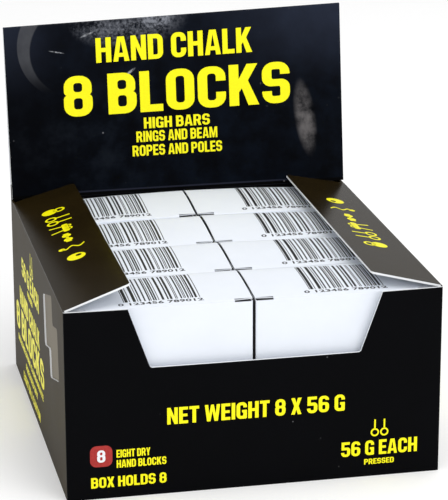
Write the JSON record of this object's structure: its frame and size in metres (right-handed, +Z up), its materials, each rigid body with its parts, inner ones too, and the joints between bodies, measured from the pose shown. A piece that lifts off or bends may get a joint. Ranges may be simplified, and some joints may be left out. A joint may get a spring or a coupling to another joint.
{
  "type": "gymnastics chalk block display carton",
  "caption": "Open counter display carton with a window front, side flaps and a folded lid as header, filled with boxed blocks of pressed hand chalk.",
  "frame": {"origin": "centre of the bounding box, on the base", "axes": "+X to the right seen from the front, +Y from the window front towards the header, +Z up"},
  "size_m": [0.13, 0.1446, 0.1358],
  "materials": {
    "printed_board": "satin",
    "white_board": "satin",
    "pressed_chalk": "matte"
  },
  "bodies": {
    "tray": {"bottom_panel": "printed_board", "front_wall": "printed_board", "back_wall": "printed_board", "left_wall": "printed_board", "right_wall": "printed_board", "left_front_ear": "printed_board", "right_front_ear": "printed_board", "left_rear_ear": "printed_board", "right_rear_ear": "printed_board", "left_lock_tab": "printed_board", "right_lock_tab": "printed_board", "front_left_sleeve": "white_board", "front_left_top_closure": "white_board", "front_left_bottom_closure": "white_board", "front_left_dust_flaps": "white_board", "front_left_chalk_block": "pressed_chalk", "front_right_sleeve": "white_board", "front_right_top_closure": "white_board", "front_right_bottom_closure": "white_board", "front_right_dust_flaps": "white_board", "front_right_chalk_block": "pressed_chalk", "second_left_sleeve": "white_board", "second_left_top_closure": "white_board", "second_left_bottom_closure": "white_board", "second_left_dust_flaps": "white_board", "second_left_chalk_block": "pressed_chalk", "second_right_sleeve": "white_board", "second_right_top_closure": "white_board", "second_right_bottom_closure": "white_board", "second_right_dust_flaps": "white_board", "second_right_chalk_block": "pressed_chalk", "third_left_sleeve": "white_board", "third_left_top_closure": "white_board", "third_left_bottom_closure": "white_board", "third_left_dust_flaps": "white_board", "third_left_chalk_block": "pressed_chalk", "third_right_sleeve": "white_board", "third_right_top_closure": "white_board", "third_right_bottom_closure": "white_board", "third_right_dust_flaps": "white_board", "third_right_chalk_block": "pressed_chalk", "rear_left_sleeve": "white_board", "rear_left_top_closure": "white_board", "rear_left_bottom_closure": "white_board", "rear_left_dust_flaps": "white_board", "rear_left_chalk_block": "pressed_chalk", "rear_right_sleeve": "white_board", "rear_right_top_closure": "white_board", "rear_right_bottom_closure": "white_board", "rear_right_dust_flaps": "white_board", "rear_right_chalk_block": "pressed_chalk"},
    "left_flap": {"left_flap": "printed_board"},
    "right_flap": {"right_flap": "printed_board"},
    "header": {"header_rear_panel": "printed_board", "header_front_panel": "printed_board"},
    "tongue": {"tuck_tongue": "printed_board"}
  },
  "joints": [
    {"name": "left_flap_fold", "type": "hinge", "parent": "tray", "child": "left_flap", "pos_m": [-0.06465, 0, 0.067], "axis": [0, -1, 0], "range_deg": [-12, 150]},
    {"name": "right_flap_fold", "type": "hinge", "parent": "tray", "child": "right_flap", "pos_m": [0.06465, 0, 0.067], "axis": [0, 1, 0], "range_deg": [-8, 154]},
    {"name": "header_fold", "type": "hinge", "parent": "tray", "child": "header", "pos_m": [0, 0.06534, 0.067], "axis": [-1, 0, 0], "range_deg": [0, 60]},
    {"name": "tongue_crease", "type": "hinge", "parent": "header", "child": "tongue", "pos_m": [0, 0.06134, 0.068], "axis": [-1, 0, 0], "range_deg": [-60, 0]}
  ],
  "couplings": [
    {"joint": "tongue_crease", "follows": "header_fold", "ratio": -1}
  ]
}
